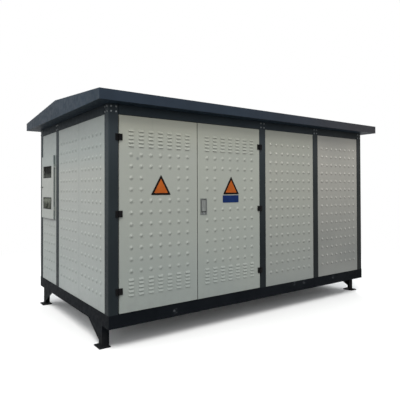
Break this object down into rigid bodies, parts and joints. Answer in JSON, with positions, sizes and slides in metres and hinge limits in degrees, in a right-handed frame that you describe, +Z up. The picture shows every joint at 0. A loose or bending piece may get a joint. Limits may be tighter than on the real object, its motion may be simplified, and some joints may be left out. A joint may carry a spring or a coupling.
{
  "type": "compact substation housing",
  "caption": "Steel-framed outdoor switchgear housing on short legs, with a louvred double door, a metering cabinet on one end and a low gabled roof.",
  "frame": {"origin": "on the ground under the middle of the roof's outline", "axes": "+X along the long front, away from the metering cabinet's end; +Y from the front to the back; +Z up"},
  "size_m": [4.506, 2.72, 2.669],
  "materials": {
    "base_paint": "satin black paint",
    "frame_paint": "satin blue-grey paint",
    "roof_paint": "satin blue-grey paint",
    "panel_paint": "satin pale grey paint",
    "floor_steel": "matt primer",
    "hinge_black": "satin black",
    "handle_metal": "satin grey metal",
    "meter_glass": "tinted clear"
  },
  "bodies": {
    "housing": {"base_channel_front": "base_paint", "base_channel_right": "base_paint", "base_channel_back": "base_paint", "base_channel_left": "base_paint", "cross_member_left": "base_paint", "cross_member_right": "base_paint", "floor_plate": "floor_steel", "leg_front_left": "base_paint", "leg_back_left": "base_paint", "leg_front_right": "base_paint", "leg_back_right": "base_paint", "corner_post_front_left": "frame_paint", "corner_post_front_right": "frame_paint", "corner_post_back_right": "frame_paint", "corner_post_back_left": "frame_paint", "mid_post_front_1": "frame_paint", "mid_post_front_2": "frame_paint", "mid_post_right_1": "frame_paint", "mid_post_back_1": "frame_paint", "mid_post_back_2": "frame_paint", "mid_post_left_1": "frame_paint", "top_beam_front": "frame_paint", "top_beam_right": "frame_paint", "top_beam_back": "frame_paint", "top_beam_left": "frame_paint", "wall_panel_front_2": "panel_paint", "wall_panel_front_3": "panel_paint", "wall_panel_right_1": "panel_paint", "wall_panel_right_2": "panel_paint", "wall_panel_back_1": "panel_paint", "wall_panel_back_2": "panel_paint", "wall_panel_back_3": "panel_paint", "wall_panel_left_far": "panel_paint", "wall_panel_left_near": "panel_paint", "wall_panel_meter_bay": "panel_paint", "hinge_left_bottom_fixed": "hinge_black", "hinge_left_middle_fixed": "hinge_black", "hinge_left_top_fixed": "hinge_black", "hinge_right_bottom_fixed": "hinge_black", "hinge_right_middle_fixed": "hinge_black", "hinge_right_top_fixed": "hinge_black", "meter_box": "panel_paint", "roof_shell": "roof_paint", "ceiling_panel": "roof_paint"},
    "door_left": {"door_leaf_left": "panel_paint", "hinge_left_bottom_moving": "hinge_black", "hinge_left_middle_moving": "hinge_black", "hinge_left_top_moving": "hinge_black"},
    "door_right": {"door_leaf_right": "panel_paint", "hinge_right_bottom_moving": "hinge_black", "hinge_right_middle_moving": "hinge_black", "hinge_right_top_moving": "hinge_black", "handle_pan": "handle_metal"},
    "lever": {"handle_lever": "handle_metal"},
    "meter_cabinet_door": {"meter_door": "panel_paint", "meter_window_lower": "meter_glass", "meter_window_upper": "meter_glass", "meter_knob": "handle_metal"}
  },
  "joints": [
    {"name": "door_left_hinge", "type": "hinge", "parent": "housing", "child": "door_left", "pos_m": [-1.984, -1.218, 1.35], "axis": [0, 0, -1], "range_deg": [0, 120]},
    {"name": "door_right_hinge", "type": "hinge", "parent": "housing", "child": "door_right", "pos_m": [-0.064, -1.218, 1.35], "axis": [0, 0, 1], "range_deg": [0, 120]},
    {"name": "handle_lift", "type": "hinge", "parent": "door_right", "child": "lever", "pos_m": [-0.937, -1.205, 1.467], "axis": [-1, 0, 0], "range_deg": [0, 30]},
    {"name": "meter_door_hinge", "type": "hinge", "parent": "housing", "child": "meter_cabinet_door", "pos_m": [-2.1063, 0.531, 1.632], "axis": [0, 0, 1], "range_deg": [0, 110]}
  ]
}
